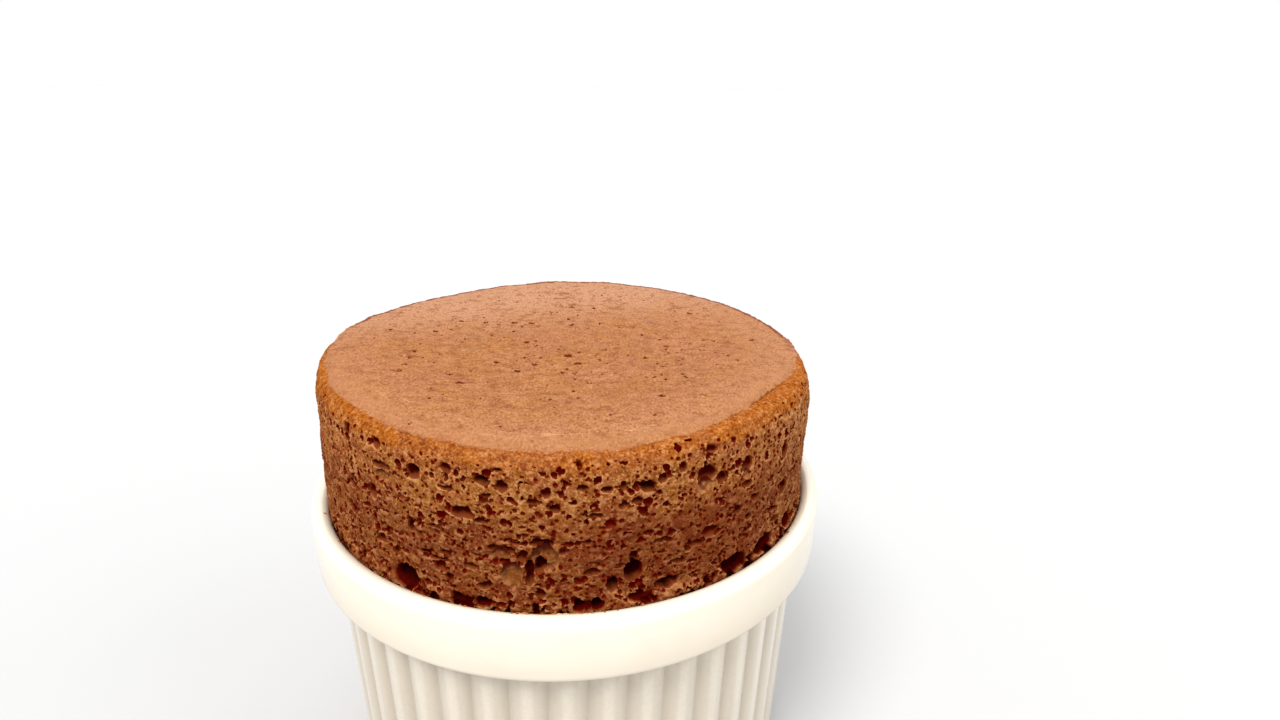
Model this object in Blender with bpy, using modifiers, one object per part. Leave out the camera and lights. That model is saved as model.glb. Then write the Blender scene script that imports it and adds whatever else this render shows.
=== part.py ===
"""Chocolate souffle in the ribbed porcelain ramekin that it was baked in, as two closed solids.

Blender 4.5, metres, +Z up. The origin is the centre of the ramekin's foot, on the surface it stands on.
Sizes are named in millimetres and turned into metres where a mesh is made.
"""

import math

import bmesh
import bpy
from mathutils import Vector

MM = 0.001

# Ramekin: an individual dish of about 240 ml.
RIM_RADIUS = 45.0
DISH_HEIGHT = 55.0
LIP_ROUNDING = 1.5
BAND_BOTTOM = 44.6  # height of the smooth band's lower face
BAND_CORNER = 1.2
NECK_RADIUS = 41.9  # over the ribs, just below the band
ANKLE_RADIUS = 40.4  # over the ribs, just above the foot
ANKLE_HEIGHT = 2.2
FOOT_RADIUS = 39.2
FOOT_RING_WIDTH = 2.4
FOOT_RECESS = 1.4  # how far the underside lies above the foot ring
FLOOR_HEIGHT = 5.4
FLOOR_RADIUS = 31.5
WALL_BOTTOM = (35.9, 10.0)  # inner wall: radius and height where it leaves the floor's fillet
WALL_SHOULDER = (38.8, 43.5)  # where the wall starts to flare under the band
WALL_FLARE = (41.5, 50.5)

# Ribs: convex columns side by side, with a narrow groove between each two.
RIB_COUNT = 44
RIB_STEPS = 4  # mesh columns across one rib
GROOVE_DEPTH = 0.85

# Souffle: risen straight out of the dish, with a level skin and a browned, rounded edge.
SKIN_EDGE_HEIGHT = 78.3
SKIN_RADIUS = 40.0  # where the smooth skin ends
CRUMB_RADIUS = 41.7  # the side above the rim
BROWNED_EDGE_DROP = 3.4  # from the skin's edge down to the plumb side
RING_RADIUS = 34.5  # the skin's highest part, a low ring near the edge
RING_RISE = 0.4  # how far the ring lies above the skin's edge
DIMPLE_DEPTH = 0.7  # how far the middle has sunk below the ring
RELEASE_GAP = 0.4  # between the souffle and the dish
SOUFFLE_STEPS = 88

MERGE_DISTANCE = 0.0001  # metres, for the points on the axis and on the seam


def clear_scene():
    """Removes what the file starts with."""
    for obj in list(bpy.data.objects):
        bpy.data.objects.remove(obj, do_unlink=True)


def collection_named(name):
    """A new collection in the scene."""
    collection = bpy.data.collections.new(name)
    bpy.context.scene.collection.children.link(collection)
    return collection


def material_named(name, colour, roughness, coat=0.0):
    """A Principled material with one colour."""
    material = bpy.data.materials.new(name)
    material.use_nodes = True
    shader = material.node_tree.nodes["Principled BSDF"]
    shader.inputs["Base Color"].default_value = (*colour, 1.0)
    shader.inputs["Roughness"].default_value = roughness
    shader.inputs["Metallic"].default_value = 0.0
    shader.inputs["Coat Weight"].default_value = coat
    material.diffuse_color = (*colour, 1.0)
    return material


def arc(centre, radius, start_deg, end_deg, steps):
    """Points (radius, height) along an arc of the profile, both ends included."""
    points = []
    for step in range(steps + 1):
        angle = math.radians(start_deg + (end_deg - start_deg) * step / steps)
        points.append((centre[0] + radius * math.cos(angle), centre[1] + radius * math.sin(angle)))
    return points


def inner_wall():
    """The dish's inside from the floor's edge up to the lip, as (radius, height)."""
    lip_inside = (RIM_RADIUS - 2.0 * LIP_ROUNDING, DISH_HEIGHT - LIP_ROUNDING)
    return [(FLOOR_RADIUS, FLOOR_HEIGHT), WALL_BOTTOM, WALL_SHOULDER, WALL_FLARE, lip_inside]


def ramekin_profile():
    """From the middle of the floor, up the inside, over the lip and down the outside to the foot."""
    lip_centre = (RIM_RADIUS - LIP_ROUNDING, DISH_HEIGHT - LIP_ROUNDING)
    corner_centre = (RIM_RADIUS - BAND_CORNER, BAND_BOTTOM + BAND_CORNER)
    ring_inside = FOOT_RADIUS - FOOT_RING_WIDTH
    return (
        [(0.0, FLOOR_HEIGHT)]
        + inner_wall()[:-1]
        + arc(lip_centre, LIP_ROUNDING, 180.0, 0.0, 4)
        + arc(corner_centre, BAND_CORNER, 0.0, -90.0, 2)
        + [
            (NECK_RADIUS, BAND_BOTTOM),
            (ANKLE_RADIUS, ANKLE_HEIGHT),
            (FOOT_RADIUS, 0.0),
            (ring_inside, 0.0),
            (ring_inside - FOOT_RECESS, FOOT_RECESS),
            (0.0, FOOT_RECESS),
        ]
    )


def souffle_profile():
    """From the middle of the skin, over the browned edge and down to the dish's floor."""
    ring_height = SKIN_EDGE_HEIGHT + RING_RISE
    side_top = SKIN_EDGE_HEIGHT - BROWNED_EDGE_DROP
    skin = [
        (0.0, ring_height - DIMPLE_DEPTH),
        (0.45 * RING_RADIUS, ring_height - 0.85 * DIMPLE_DEPTH),
        (0.8 * RING_RADIUS, ring_height - 0.3 * DIMPLE_DEPTH),
        (RING_RADIUS, ring_height),
        (SKIN_RADIUS, SKIN_EDGE_HEIGHT),
    ]
    browned_edge = [
        (SKIN_RADIUS + 0.6 * (CRUMB_RADIUS - SKIN_RADIUS), SKIN_EDGE_HEIGHT - 0.25 * BROWNED_EDGE_DROP),
        (CRUMB_RADIUS, side_top),
    ]
    side = [
        (CRUMB_RADIUS + 0.15, 0.5 * (side_top + DISH_HEIGHT)),
        (CRUMB_RADIUS - 0.1, DISH_HEIGHT),
    ]
    in_dish = [
        (radius - RELEASE_GAP, height + (RELEASE_GAP if height == FLOOR_HEIGHT else 0.0))
        for radius, height in reversed(inner_wall())
    ]
    return skin + browned_edge + side + in_dish + [(0.0, FLOOR_HEIGHT + RELEASE_GAP)]


def turned(name, profile, steps):
    """A mesh object made by turning a profile about Z with a Screw modifier, then applied."""
    mesh = bpy.data.meshes.new(name + "_profile")
    points = [Vector((radius * MM, 0.0, height * MM)) for radius, height in profile]
    edges = [(index, index + 1) for index in range(len(points) - 1)]
    mesh.from_pydata(points, edges, [])
    guide = bpy.data.objects.new(name + "_guide", mesh)
    bpy.context.scene.collection.objects.link(guide)
    screw = guide.modifiers.new("turn", "SCREW")
    screw.axis = "Z"
    screw.steps = steps
    screw.render_steps = steps
    screw.use_merge_vertices = True
    screw.merge_threshold = MERGE_DISTANCE
    bpy.context.view_layer.update()
    graph = bpy.context.evaluated_depsgraph_get()
    solid = bpy.data.meshes.new_from_object(guide.evaluated_get(graph))
    solid.name = name
    bpy.data.objects.remove(guide, do_unlink=True)
    return bpy.data.objects.new(name, solid)


def reshape(obj, move):
    """Moves each point of a turned mesh: move takes and returns (radius, angle, height) in millimetres."""
    shape = bmesh.new()
    shape.from_mesh(obj.data)
    bmesh.ops.remove_doubles(shape, verts=shape.verts, dist=MERGE_DISTANCE * 0.1)
    for vert in shape.verts:
        radius = math.hypot(vert.co.x, vert.co.y) / MM
        angle = math.atan2(vert.co.y, vert.co.x)
        radius, angle, height = move(radius, angle, vert.co.z / MM)
        vert.co = Vector((radius * math.cos(angle), radius * math.sin(angle), height)) * MM
    shape.to_mesh(obj.data)
    shape.free()


def rib_relief(angle):
    """Depth below the ribs' crests at an angle: a parabola across each rib, deepest in the groove."""
    across = (angle * RIB_COUNT / (2.0 * math.pi)) % 1.0
    return GROOVE_DEPTH * (2.0 * abs(across - 0.5)) ** 2


def press_ribs(radius, angle, height):
    """Sinks the grooves into the outer wall between the ankle and the neck."""
    on_wall = ANKLE_HEIGHT - 0.1 <= height <= BAND_BOTTOM + 0.1
    taper = (height - ANKLE_HEIGHT) / (BAND_BOTTOM - ANKLE_HEIGHT)
    crest = ANKLE_RADIUS + taper * (NECK_RADIUS - ANKLE_RADIUS)
    if on_wall and abs(radius - crest) < 0.2:
        radius -= rib_relief(angle)
    return radius, angle, height


def rise_unevenly(radius, angle, height):
    """Lets the souffle stand a little higher at the left and lower at the right, above the rim only."""
    risen = max(0.0, (height - DISH_HEIGHT) / (SKIN_EDGE_HEIGHT - DISH_HEIGHT))
    outward = (radius / CRUMB_RADIUS) ** 2
    lean = 0.65 * math.cos(angle + 2.8) + 0.4 * math.cos(3.0 * angle + 2.2) + 0.15 * math.cos(5.0 * angle - 2.7)
    waver = 0.22 * math.sin(2.0 * angle + 0.7) + 0.13 * math.cos(5.0 * angle) + 0.07 * math.sin(11.0 * angle)
    return radius + risen * outward * waver, angle, height + risen * outward * lean


def finish(obj, collection, material, sharp_deg):
    """Gives a solid its material, smooth shading and collection."""
    obj.data.materials.clear()
    obj.data.materials.append(material)
    obj.data.shade_smooth()
    obj.data.set_sharp_from_angle(angle=math.radians(sharp_deg))
    collection.objects.link(obj)


def build_ramekin(collection):
    """The dish: one porcelain body with its band, ribs and foot ring."""
    dish = turned("ramekin", ramekin_profile(), RIB_COUNT * RIB_STEPS)
    reshape(dish, press_ribs)
    finish(dish, collection, material_named("porcelain", (0.86, 0.83, 0.76), 0.18, coat=0.6), 35.0)


def build_souffle(collection):
    """The baked souffle: one body from the dish's floor to the skin."""
    food = turned("souffle", souffle_profile(), SOUFFLE_STEPS)
    reshape(food, rise_unevenly)
    finish(food, collection, material_named("baked_chocolate", (0.30, 0.135, 0.06), 0.75), 60.0)


def main():
    clear_scene()
    collection = collection_named("chocolate_souffle")
    build_ramekin(collection)
    build_souffle(collection)


main()
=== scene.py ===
"""Looks of a chocolate souffle in the ribbed porcelain ramekin that it was baked in.

Laid out as a Blender add-on: settings, one operator for each piece and one for the studio, and a
panel. Sizes in the settings are in metres. Inside the node trees, lengths are in millimetres.
"""

import contextlib
import math
import random

import bmesh
import bpy
from bpy.props import FloatProperty, FloatVectorProperty, IntProperty, PointerProperty
from mathutils import Matrix, Vector


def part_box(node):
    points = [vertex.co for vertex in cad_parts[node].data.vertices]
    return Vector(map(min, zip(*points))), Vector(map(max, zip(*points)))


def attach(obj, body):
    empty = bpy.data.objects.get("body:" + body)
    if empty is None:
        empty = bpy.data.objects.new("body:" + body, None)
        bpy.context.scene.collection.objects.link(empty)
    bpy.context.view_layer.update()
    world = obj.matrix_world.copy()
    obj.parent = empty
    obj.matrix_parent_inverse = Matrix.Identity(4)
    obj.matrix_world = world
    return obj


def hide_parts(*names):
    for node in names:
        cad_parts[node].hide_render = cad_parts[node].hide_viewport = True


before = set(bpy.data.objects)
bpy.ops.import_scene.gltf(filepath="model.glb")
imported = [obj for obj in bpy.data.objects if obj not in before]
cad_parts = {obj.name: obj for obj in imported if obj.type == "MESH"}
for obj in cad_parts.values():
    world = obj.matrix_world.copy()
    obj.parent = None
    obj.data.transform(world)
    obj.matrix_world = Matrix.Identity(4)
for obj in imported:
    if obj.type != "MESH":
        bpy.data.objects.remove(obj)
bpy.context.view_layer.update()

bl_info = {
    "name": "Chocolate souffle",
    "version": (1, 0, 0),
    "blender": (4, 5, 0),
    "location": "3D View > Sidebar > Souffle",
    "description": "Models a chocolate souffle in its ribbed ramekin, with its crumb, skin and glaze",
    "category": "Add Mesh",
}

MM = 0.001
_, DISH_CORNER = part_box("ramekin")
RIM_HEIGHT = DISH_CORNER.z
RIM_RADIUS = DISH_CORNER.x


# ----------------------------------------------------------------------
# Settings
# ----------------------------------------------------------------------


def length(name, description, millimetres):
    """A length property, given in millimetres."""
    return FloatProperty(
        name=name, description=description, default=millimetres * MM, unit="LENGTH", precision=5
    )


def colour(name, description, red, green, blue):
    """A colour property, in linear light."""
    tone = (red, green, blue)
    return FloatVectorProperty(
        name=name, description=description, subtype="COLOR", size=3, min=0.0, max=1.0, default=tone
    )


def slant(name, description, degrees):
    """An angle property, given in degrees."""
    return FloatProperty(
        name=name, description=description, default=math.radians(degrees), unit="ROTATION"
    )


def brightness(name, description, amount):
    """A light's strength property."""
    return FloatProperty(name=name, description=description, default=amount, min=0.0)


class RamekinSettings(bpy.types.PropertyGroup):
    """Sizes and colours of the dish."""

    rim_radius: FloatProperty(
        name="Rim radius", description="Outside radius of the band", default=RIM_RADIUS, unit="LENGTH"
    )
    rim_height: FloatProperty(
        name="Rim height", description="Height of the lip's top", default=RIM_HEIGHT, unit="LENGTH"
    )
    lip_rounding: length("Lip rounding", "Radius of the lip's round top", 1.5)
    band_height: length("Band height", "Height of the smooth band below the rim", 10.4)
    band_corner: length("Band corner", "Radius of the band's lower corner", 1.2)
    neck_radius: length("Neck radius", "Radius over the ribs just below the band", 41.9)
    ankle_radius: length("Ankle radius", "Radius over the ribs just above the foot", 40.4)
    foot_radius: length("Foot radius", "Outside radius of the foot ring", 39.2)
    rib_count: IntProperty(name="Ribs", description="Number of ribs round the wall", default=44, min=8)
    groove_depth: length("Groove depth", "Depth of the grooves between the ribs", 0.85)
    glaze: colour("Glaze", "Warm white of the glazed porcelain", 0.80, 0.735, 0.615)
    # Painted shade: the band is creamier low down and away from its front
    band_shade: colour("Creamy glaze", "Creamier glaze low on the band", 0.58, 0.49, 0.36)
    # Glaze pooling in the grooves and random creamy mottle, and painted shade on the ribs and under the
    # band
    pooled_glaze_and_shade: colour("Pooled glaze", "Creamier tone of the grooves", 0.425, 0.358, 0.272)
    baked_on: colour("Baked-on butter", "Stain along the lip's inside", 0.72, 0.46, 0.16)
    bare_clay: colour("Bare clay", "Unglazed porcelain under the foot ring", 0.80, 0.76, 0.66)


class SouffleSettings(bpy.types.PropertyGroup):
    """Sizes and colours of the food."""

    edge_rise: length("Edge rise", "Height of the skin's edge above the rim", 23.3)
    skin_radius: length("Skin radius", "Radius of the smooth skin", 40.0)
    crumb_radius: length("Crumb radius", "Radius of the upright side", 41.7)
    browned_drop: length("Browned edge", "Height of the rounded, browned edge", 3.4)
    ring_radius: length("Ring radius", "Where the skin is highest", 34.5)
    ring_rise: length("Ring rise", "How far the ring lies above the skin's edge", 0.4)
    dimple_depth: length("Dimple", "How far the skin's middle has sunk", 0.7)
    crumb_light: colour("Crumb", "Walls between the pores", 0.257, 0.073, 0.0155)
    crumb_dark: colour("Dense crumb", "Denser crumb low down", 0.125, 0.022, 0.0035)
    crumb_gold: colour("Golden crumb", "Yellower patches of the walls", 0.262, 0.094, 0.013)
    # Also painted shade in the crumb's recesses and on faces turned down
    moist_and_shaded_crumb: colour("Moist crevices", "Crevices between the crumb's grains", 0.100, 0.0105, 0.0012)
    # Also painted glints round each pore's rim and under each hollow's lower lip, and a painted sheen on
    # the side's far end
    crumb_glint: colour("Palest crumb", "Palest grains and the side's far end", 0.50, 0.235, 0.085)
    # Also painted light on raised places and on faces turned up
    dry_and_lit_crumb: colour("Dry grains", "Dried tops of the crumb's grains", 0.44, 0.19, 0.078)
    # Darkened as painted shade
    shaded_hollow_floor: colour("Hollow", "Floor of the shallow holes", 0.190, 0.062, 0.0105)
    # Painted shade inside the pores and holes: these five colours
    pore_mouth_shade: colour("Pore wall", "Just inside a pore's mouth", 0.132, 0.0150, 0.0024)
    pore: colour("Pore", "Inside of the pores", 0.072, 0.0012, 0.0004)
    hole_floor_shade: colour("Hole floor", "Lower part of the larger holes", 0.155, 0.027, 0.0048)
    hole_shade: colour("Hole", "Inside of the larger holes", 0.066, 0.0018, 0.0006)
    deep_hole_shade: colour("Deep pore", "Bottom of the deepest holes", 0.020, 0.0008, 0.0005)
    browned: colour("Browned edge", "Caramel of the browned edge", 0.270, 0.079, 0.0145)
    browned_deep: colour("Toasted edge", "Orange streaks of the browned edge", 0.285, 0.078, 0.005)
    # Also painted shade in the crevices of the browned edge
    browned_dark_and_shade: colour("Edge crevices", "Between the grains of the browned edge", 0.135, 0.019, 0.002)
    # Also a painted highlight on the raised grains of the browned edge
    browned_fleck_and_highlight: colour("Edge flecks", "Palest grains of the browned edge", 0.46, 0.20, 0.070)
    skin: colour("Skin", "Milky brown of the skin", 0.315, 0.118, 0.041)
    skin_gold: colour("Skin, golden", "Yellower patches of the skin", 0.30, 0.114, 0.025)
    skin_deep: colour("Skin, deeper", "Deeper streaks of the skin", 0.170, 0.044, 0.009)
    skin_pale: colour("Skin, pale", "Paler ring near the skin's edge", 0.355, 0.156, 0.068)
    skin_glint: colour("Skin, glinting", "Thin wrinkles that catch the light", 0.56, 0.29, 0.14)
    # Painted sheen towards the back, where the skin is seen at a grazing angle
    skin_back_sheen: colour("Skin, dry", "Drier, yellower skin towards the back", 0.385, 0.192, 0.104)
    # Painted shade inside the pinholes
    pinhole_shade: colour("Pinholes", "Inside of the skin's pinholes", 0.105, 0.019, 0.0025)
    dried_batter: colour("Dried batter", "Line of batter on the lip", 0.56, 0.36, 0.17)


class StudioSettings(bpy.types.PropertyGroup):
    """Camera, light and floor."""

    lens: FloatProperty(name="Lens", description="Focal length on a 36 mm sensor", default=22.45, min=1.0)
    camera_right: length("Camera right", "How far right of the dish's axis the camera stands", 12.6)
    camera_away: length("Camera away", "How far in front of the dish's axis the camera stands", 131.2)
    camera_above: length("Camera above", "Height of the camera above the rim", 71.0)
    camera_tilt: slant("Tilt", "Downward tilt", 21.07)
    camera_roll: slant("Roll", "Leftward roll", 0.88)
    floor_radius: length("Floor radius", "Radius of the round floor", 3000.0)
    floor: colour("Floor", "Pale floor", 0.479, 0.482, 0.488)
    key_strength: brightness("Key light", "Soft light from the upper left", 3.0)
    back_strength: brightness("Back light", "Soft light from behind", 0.6)
    fill_strength: brightness("Fill light", "Soft light from the right", 0.9)
    sky_strength: brightness("Sky", "Even white light from all round", 1.0)


# ----------------------------------------------------------------------
# Node trees, written as expressions
# ----------------------------------------------------------------------


class Wire:
    """One output socket of a node tree. Arithmetic on wires adds Math nodes."""

    def __init__(self, graph, socket):
        self.graph = graph
        self.socket = socket

    def __add__(self, other):
        return self.graph.math("ADD", self, other)

    __radd__ = __add__

    def __sub__(self, other):
        return self.graph.math("SUBTRACT", self, other)

    def __rsub__(self, other):
        return self.graph.math("SUBTRACT", other, self)

    def __mul__(self, other):
        return self.graph.math("MULTIPLY", self, other)

    __rmul__ = __mul__

    def __truediv__(self, other):
        return self.graph.math("DIVIDE", self, other)

    def __pow__(self, other):
        return self.graph.math("POWER", self, other)


class Graph:
    """A node tree of a material or of a modifier, which both know the same texture and maths nodes."""

    def __init__(self, tree):
        self.tree = tree

    def add(self, kind, settings=None, sockets=None, output=0):
        """Adds a node of a type, with its settings first and then its sockets' values or links."""
        node = self.tree.nodes.new(kind)
        for name, value in (settings or {}).items():
            setattr(node, name, value)
        for key, value in (sockets or {}).items():
            self.feed(node.inputs[key], value)
        return Wire(self, node.outputs[output]) if node.outputs else node

    def feed(self, socket, value):
        """Links a wire to a socket, or sets the socket's own value."""
        if isinstance(value, Wire):
            self.tree.links.new(value.socket, socket)
        elif socket.type == "RGBA" and len(value) == 3:
            socket.default_value = (*value, 1.0)
        else:
            socket.default_value = value

    def math(self, operation, *values):
        """A number worked out from others."""
        return self.add("ShaderNodeMath", {"operation": operation}, dict(enumerate(values)))

    def highest(self, first, second):
        return self.math("MAXIMUM", first, second)

    def lowest(self, first, second):
        return self.math("MINIMUM", first, second)

    def vector(self, operation, *values, output=0):
        """A vector, or a number taken from vectors."""
        settings = {"operation": operation}
        return self.add("ShaderNodeVectorMath", settings, dict(enumerate(values)), output)

    def scaled(self, vector, factor):
        return self.add("ShaderNodeVectorMath", {"operation": "SCALE"}, {0: vector, "Scale": factor})

    def layered(self, tone, *layers):
        """Colours laid over a first one, in order. A layer is (how much of it shows, its colour)."""
        for cover, layer in layers:
            sockets = {0: cover, 6: tone, 7: layer}
            tone = self.add("ShaderNodeMix", {"data_type": "RGBA"}, sockets, output=2)
        return tone

    def smooth(self, value, low, high, top=1.0):
        """0 below low, top above high, and an S-curve between them. low may lie above high."""
        sockets = {"Value": value, "From Min": low, "From Max": high, "To Max": top}
        return self.add("ShaderNodeMapRange", {"interpolation_type": "SMOOTHSTEP"}, sockets)

    def noise(self, place, size, detail=2.0, roughness=0.5, output=0):
        """Noise with features about size millimetres wide, from 0 to 1."""
        sockets = {"Vector": place, "Scale": 1.0 / size, "Detail": detail, "Roughness": roughness}
        return self.add("ShaderNodeTexNoise", {"noise_dimensions": "3D"}, sockets, output)

    def cells(self, place, size, dimensions="3D"):
        """Random cells about size millimetres wide: how far a place is from the middle of the nearest
        one, in units of a cell, then a colour drawn for that cell, and its middle."""
        settings = {"feature": "F1", "voronoi_dimensions": dimensions}
        sockets = {"Vector": place, "Scale": 1.0 / size}
        distance = self.add("ShaderNodeTexVoronoi", settings, sockets, "Distance")
        cell = distance.socket.node.outputs
        return distance, Wire(self, cell["Color"]), Wire(self, cell["Position"])

    def split(self, vector):
        """The three parts of a vector."""
        node = self.tree.nodes.new("ShaderNodeSeparateXYZ")
        self.feed(node.inputs[0], vector)
        return [Wire(self, socket) for socket in node.outputs]

    def join(self, x, y, z):
        """A vector made of three numbers."""
        return self.add("ShaderNodeCombineXYZ", sockets={0: x, 1: y, 2: z})

    def warped(self, place, size, amount):
        """A place pushed about by noise, by up to half the amount in millimetres."""
        push = self.vector("SUBTRACT", self.noise(place, size, output=1), (0.5, 0.5, 0.5))
        return self.vector("ADD", place, self.scaled(push, amount))


# ----------------------------------------------------------------------
# Modelling helpers
# ----------------------------------------------------------------------


@contextlib.contextmanager
def editing(mode="VERT"):
    """Edit mode on the active piece, with nothing selected at first."""
    bpy.ops.object.mode_set(mode="EDIT")
    bpy.ops.mesh.select_mode(type=mode)
    bpy.ops.mesh.select_all(action="DESELECT")
    yield
    bpy.ops.object.mode_set(mode="OBJECT")


def select_points(test):
    """Selects the edited points that pass a test of (radius, angle, height), in mm and radians."""
    mesh = bpy.context.object.data
    shape = bmesh.from_edit_mesh(mesh)
    for vert in shape.verts:
        radius = math.hypot(vert.co.x, vert.co.y) / MM
        vert.select_set(test(radius, math.atan2(vert.co.y, vert.co.x), vert.co.z / MM))
    shape.select_flush_mode()
    bmesh.update_edit_mesh(mesh)


def turned(name, profile, columns):
    """A turned piece: a circle on the profile's first point, extruded ring by ring along it and
    closed at both ends. The profile is a list of (radius, height) in millimetres."""
    bpy.ops.object.select_all(action="DESELECT")
    radius, height = profile[0]
    bpy.ops.mesh.primitive_circle_add(vertices=columns, radius=radius * MM, fill_type="NOTHING")
    piece = bpy.context.object
    piece.name = piece.data.name = name
    with editing():
        bpy.ops.mesh.select_all(action="SELECT")
        bpy.ops.transform.translate(value=(0.0, 0.0, height * MM))
        close_ring()
        select_points(lambda r, a, h: r > 0.5 * radius)
        extrude_ring(profile)
        close_ring()
        face_outwards()
    return piece


def extrude_ring(profile):
    """Extrudes the selected ring from the profile's first point along the rest of it."""
    for (radius, height), (next_radius, next_height) in zip(profile, profile[1:]):
        rise = (next_height - height) * MM
        bpy.ops.mesh.extrude_region_move(TRANSFORM_OT_translate={"value": (0.0, 0.0, rise)})
        widen = next_radius / radius
        bpy.ops.transform.resize(value=(widen, widen, 1.0), center_override=(0.0, 0.0, 0.0))


def close_ring():
    """Closes the selected ring with a fan to its middle."""
    bpy.ops.mesh.extrude_region_move(TRANSFORM_OT_translate={"value": (0.0, 0.0, 0.0)})
    bpy.ops.mesh.merge(type="CENTER")


def face_outwards():
    """Turns every face of the edited mesh outwards."""
    bpy.ops.mesh.select_all(action="SELECT")
    bpy.ops.mesh.normals_make_consistent(inside=False)


def arc(centre, radius, start_deg, end_deg, steps):
    """Points (radius, height) along an arc of the profile, both ends included."""
    points = []
    for step in range(steps + 1):
        angle = math.radians(start_deg + (end_deg - start_deg) * step / steps)
        points.append((centre[0] + radius * math.cos(angle), centre[1] + radius * math.sin(angle)))
    return points


def run_nodes(pieces, name, build):
    """Runs one geometry node tree on each piece and applies it. build takes a graph and a shape."""
    tree = bpy.data.node_groups.new(name, "GeometryNodeTree")
    tree.interface.new_socket("Shape", in_out="INPUT", socket_type="NodeSocketGeometry")
    tree.interface.new_socket("Shape", in_out="OUTPUT", socket_type="NodeSocketGeometry")
    graph = Graph(tree)
    shape = build(graph, graph.add("NodeGroupInput"))
    graph.add("NodeGroupOutput", sockets={0: shape})
    for piece in pieces:
        modifier = piece.modifiers.new(name, "NODES")
        modifier.node_group = tree
        bpy.context.view_layer.objects.active = piece
        bpy.ops.object.modifier_apply(modifier=modifier.name)
    bpy.data.node_groups.remove(tree)


def keep(graph, shape, name, value, data_type="FLOAT"):
    """Stores a value on every point of a shape, under a name that a material can read."""
    settings = {"data_type": data_type, "domain": "POINT"}
    sockets = {"Geometry": shape, "Name": name, "Value": value}
    return graph.add("GeometryNodeStoreNamedAttribute", settings, sockets)


def kept(graph, name, data_type="FLOAT"):
    """Reads back a value stored on the points."""
    settings = {"data_type": data_type}
    return graph.add("GeometryNodeInputNamedAttribute", settings, {"Name": name}, "Attribute")


def place_in_mm(graph):
    """Where each point is, in millimetres."""
    return graph.scaled(graph.add("GeometryNodeInputPosition"), 1.0 / MM)


def surface_place(graph):
    """Where a shaded place of a piece is, in millimetres."""
    return graph.scaled(graph.add("ShaderNodeTexCoord", output="Object"), 1.0 / MM)


def from_axis(graph, x, y):
    """Distance from the upright axis."""
    return graph.math("SQRT", x * x + y * y)


def angle_round(graph, x, y):
    """Angle round the upright axis, in radians."""
    return graph.math("ARCTAN2", y, x)


def new_material(name):
    """A material with an empty Principled shader, and its graph."""
    material = bpy.data.materials.new(name)
    material.use_nodes = True
    return material, Graph(material.node_tree), material.node_tree.nodes["Principled BSDF"]


def shader_inputs(graph, shader, values):
    """Sets or links the shader's own sockets."""
    for name, value in values.items():
        graph.feed(shader.inputs[name], value)


def finish(piece, material, sharp_deg, replaces=None):
    """Shades a finished piece, gives it its material, and ties it to the frame."""
    piece.data.materials.clear()
    piece.data.materials.append(material)
    bpy.ops.object.select_all(action="DESELECT")
    piece.select_set(True)
    bpy.context.view_layer.objects.active = piece
    bpy.ops.object.shade_smooth_by_angle(angle=math.radians(sharp_deg))
    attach(piece, "root")
    if replaces:
        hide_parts(replaces)


# ----------------------------------------------------------------------
# Ramekin
# ----------------------------------------------------------------------

RIB_STEPS = 12  # columns across one rib
# In millimetres
FOOT_RING_WIDTH = 2.4
FOOT_RECESS = 1.4
WALL_ROWS = (2.2, 2.8, 4.0, 8.0, 16.0, 24.0, 32.0, 38.0, 42.0, 43.6)  # heights of the ribs' rings
INNER_WALL = [  # radius and height, from the lip down to the floor
    (41.5, 50.5), (38.8, 43.5), (37.4, 26.0), (35.9, 10.0), (34.2, 7.0), (31.5, 5.4), (10.0, 5.4),
]


def ramekin_profile(dish):
    """From the underside over the foot, ribs, band and lip, and down the inside to the floor."""
    rim, top = dish.rim_radius / MM, dish.rim_height / MM
    lip, corner = dish.lip_rounding / MM, dish.band_corner / MM
    band_low = top - dish.band_height / MM
    neck, ankle, foot = dish.neck_radius / MM, dish.ankle_radius / MM, dish.foot_radius / MM
    ring = foot - FOOT_RING_WIDTH
    underside = [(10.0, FOOT_RECESS), (ring - FOOT_RECESS, FOOT_RECESS), (ring - 0.5, 1.0), (ring, 0.25)]
    foot_ring = [(ring + 0.3, 0.0), (foot - 0.35, 0.0), (foot + 0.05, 0.3), (ankle - 0.35, 1.7)]
    slope = (neck - ankle) / (band_low - WALL_ROWS[0])
    wall = [(ankle + slope * (height - WALL_ROWS[0]), height) for height in (*WALL_ROWS, band_low)]
    corner_arc = arc((rim - corner, band_low + corner), corner, -90.0, 0.0, 5)
    band = [(rim - 0.04, band_low + 3.2), (rim - 0.02, top - 4.6)]
    lip_arc = arc((rim - lip, top - lip), lip, 0.0, 180.0, 14)
    outside = underside + foot_ring + wall + [(neck + 0.7, band_low)] + corner_arc + band
    return outside + lip_arc + INNER_WALL


def press_ribs(dish):
    """Sinks the grooves: each column across a rib is drawn in towards the axis by its own depth."""
    band_low = (dish.rim_height - dish.band_height) / MM
    neck, ankle = dish.neck_radius / MM, dish.ankle_radius / MM
    for step in range(RIB_STEPS // 2 + 1):
        depth = dish.groove_depth / MM * (1.0 - 2.0 * step / RIB_STEPS) ** 2
        draw_in = 1.0 - depth / neck

        def on_column(radius, angle, height):
            across = (angle * dish.rib_count / (2.0 * math.pi)) % 1.0
            column = round(across * RIB_STEPS) % RIB_STEPS
            on_wall = 2.0 < height < band_low + 0.01 and ankle - 0.2 < radius < neck + 0.1
            return on_wall and min(column, RIB_STEPS - column) == step

        select_points(on_column)
        bpy.ops.transform.resize(value=(draw_in, draw_in, 1.0), center_override=(0.0, 0.0, 0.0))


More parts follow.
